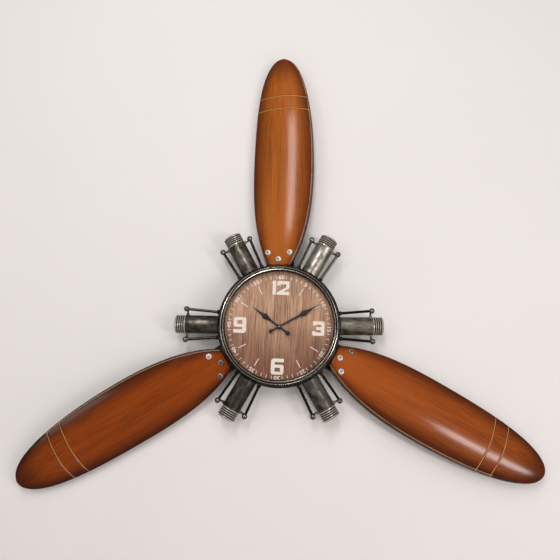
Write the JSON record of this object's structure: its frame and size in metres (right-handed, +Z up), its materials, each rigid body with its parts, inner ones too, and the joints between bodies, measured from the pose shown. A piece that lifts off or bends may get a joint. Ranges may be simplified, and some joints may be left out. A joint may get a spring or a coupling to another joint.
{
  "type": "propeller wall clock",
  "caption": "Decorative wall clock shaped like an aircraft propeller: lacquered wooden blades bolted round a radial-engine drum with push rods, a beaded bezel and a wood-grain dial.",
  "frame": {"origin": "centre of the rear face of the hanger bar, where the hub axis meets the wall", "axes": "+Y into the wall along the hub axis, +Z up, +X to the right as seen from the front; the dial faces -Y"},
  "size_m": [1.1336, 0.0678, 1.0007],
  "materials": {
    "gunmetal": "satin, brushed through to steel in patches",
    "worn_steel": "warm, worn satin",
    "dark_steel": "dark satin",
    "bright_steel": "polished",
    "plated_steel": "zinc plated",
    "lacquered_wood": "gloss lacquer over stained wood",
    "dial_print": "matt printed wood grain",
    "hand_black": "black satin paint",
    "clear_glass": "clear",
    "movement_black": "moulded",
    "brass": "turned",
    "white_nylon": "moulded",
    "cell_wrap": "plain wrap, no marks"
  },
  "bodies": {
    "root": {"drum_case": "gunmetal", "back_ring": "gunmetal", "bezel": "gunmetal", "glass_lens": "clear_glass", "spacer_ring": "dark_steel", "dial": "dial_print", "retaining_ring": "plated_steel", "hanger_bar": "plated_steel", "bar_screw_top": "bright_steel", "bar_screw_bottom": "bright_steel", "movement_case": "movement_black", "movement_cover": "movement_black", "battery": "cell_wrap", "stem_nut": "dark_steel", "cylinder_barrel_1": "gunmetal", "cylinder_head_1": "worn_steel", "push_rod_1a": "dark_steel", "push_rod_1b": "dark_steel", "cylinder_barrel_2": "gunmetal", "cylinder_head_2": "worn_steel", "push_rod_2a": "dark_steel", "push_rod_2b": "dark_steel", "cylinder_barrel_3": "gunmetal", "cylinder_head_3": "worn_steel", "push_rod_3a": "dark_steel", "push_rod_3b": "dark_steel", "cylinder_barrel_4": "gunmetal", "cylinder_head_4": "worn_steel", "push_rod_4a": "dark_steel", "push_rod_4b": "dark_steel", "cylinder_barrel_5": "gunmetal", "cylinder_head_5": "worn_steel", "push_rod_5a": "dark_steel", "push_rod_5b": "dark_steel", "cylinder_barrel_6": "gunmetal", "cylinder_head_6": "worn_steel", "push_rod_6a": "dark_steel", "push_rod_6b": "dark_steel", "blade_top": "lacquered_wood", "blade_bracket_top": "gunmetal", "blade_bolt_top_1": "bright_steel", "blade_bolt_top_2": "bright_steel", "blade_bolt_top_3": "bright_steel", "blade_left": "lacquered_wood", "blade_bracket_left": "gunmetal", "blade_bolt_left_1": "bright_steel", "blade_bolt_left_2": "bright_steel", "blade_bolt_left_3": "bright_steel", "blade_right": "lacquered_wood", "blade_bracket_right": "gunmetal", "blade_bolt_right_1": "bright_steel", "blade_bolt_right_2": "bright_steel", "blade_bolt_right_3": "bright_steel"},
    "minute": {"minute_arbor": "brass", "minute_hand": "hand_black", "hand_nut": "hand_black"},
    "motion": {"motion_wheel": "white_nylon", "set_knob": "movement_black"},
    "hour": {"hour_wheel": "white_nylon", "hour_hand": "hand_black"}
  },
  "joints": [
    {"name": "minute_hand_turn", "type": "hinge", "parent": "root", "child": "minute", "pos_m": [0, -0.05, -0.0033], "axis": [0, 1, 0], "continuous": true},
    {"name": "motion_wheel_turn", "type": "hinge", "parent": "root", "child": "motion", "pos_m": [-0.0124, -0.04, -0.0033], "axis": [0, 1, 0], "continuous": true},
    {"name": "hour_hand_turn", "type": "hinge", "parent": "root", "child": "hour", "pos_m": [0, -0.05, -0.0033], "axis": [0, 1, 0], "continuous": true}
  ],
  "couplings": [
    {"joint": "motion_wheel_turn", "follows": "minute_hand_turn", "ratio": -0.33333},
    {"joint": "hour_hand_turn", "follows": "minute_hand_turn", "ratio": 0.083333}
  ]
}
